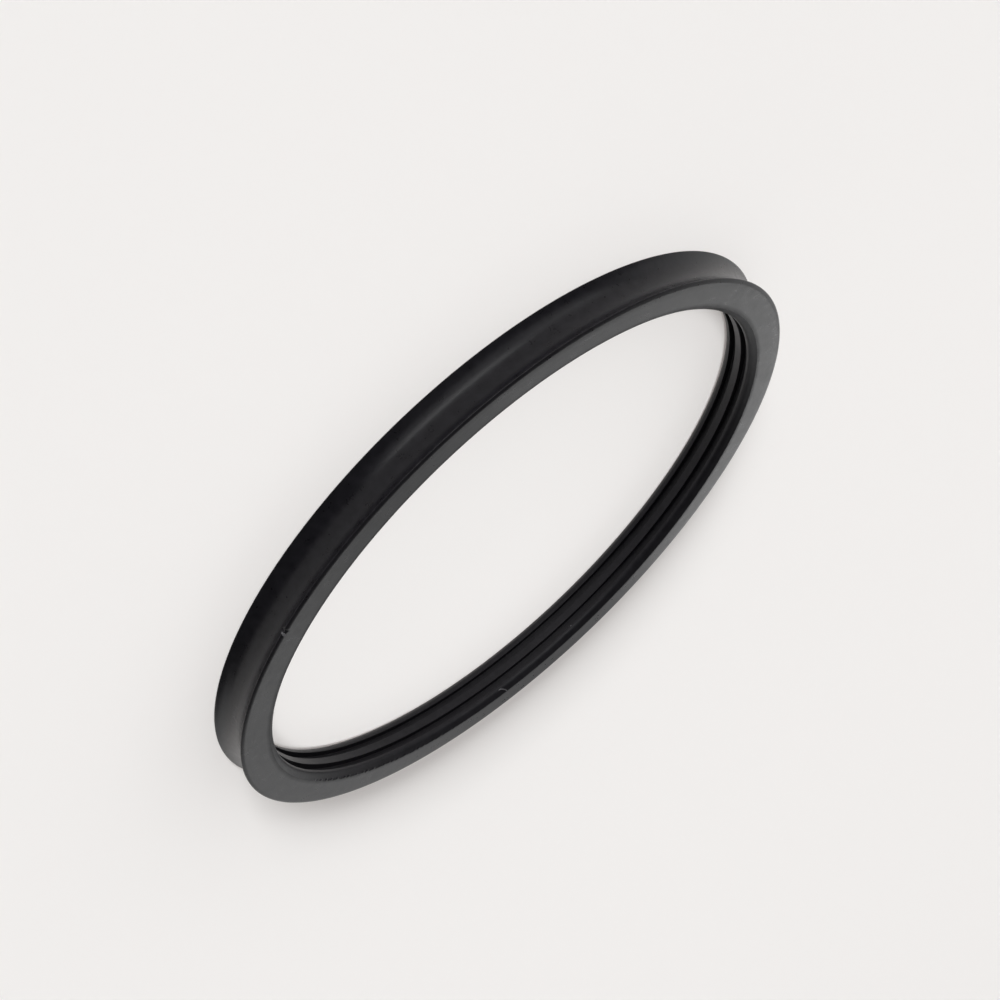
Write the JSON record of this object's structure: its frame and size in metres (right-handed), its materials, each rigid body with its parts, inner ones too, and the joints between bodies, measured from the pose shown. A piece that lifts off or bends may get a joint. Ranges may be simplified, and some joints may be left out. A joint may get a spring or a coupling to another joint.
{
  "type": "rotary shaft seal ring",
  "caption": "Uncut seal ring with a concave O-ring channel round the outside and grooved sealing lands in the bore, which run on a turning shaft.",
  "frame": {"origin": "centre of the back face, on the ring's axis", "axes": "+Z along the ring's axis, from the back face that it lies on to the front face; X and Y are any two directions across it"},
  "size_m": [0.0676, 0.0676, 0.0042],
  "materials": {
    "filled_ptfe": "fine-turned carbon-filled PTFE, near black, satin"
  },
  "bodies": {
    "root": {"seal_ring": "filled_ptfe"}
  },
  "joints": []
}
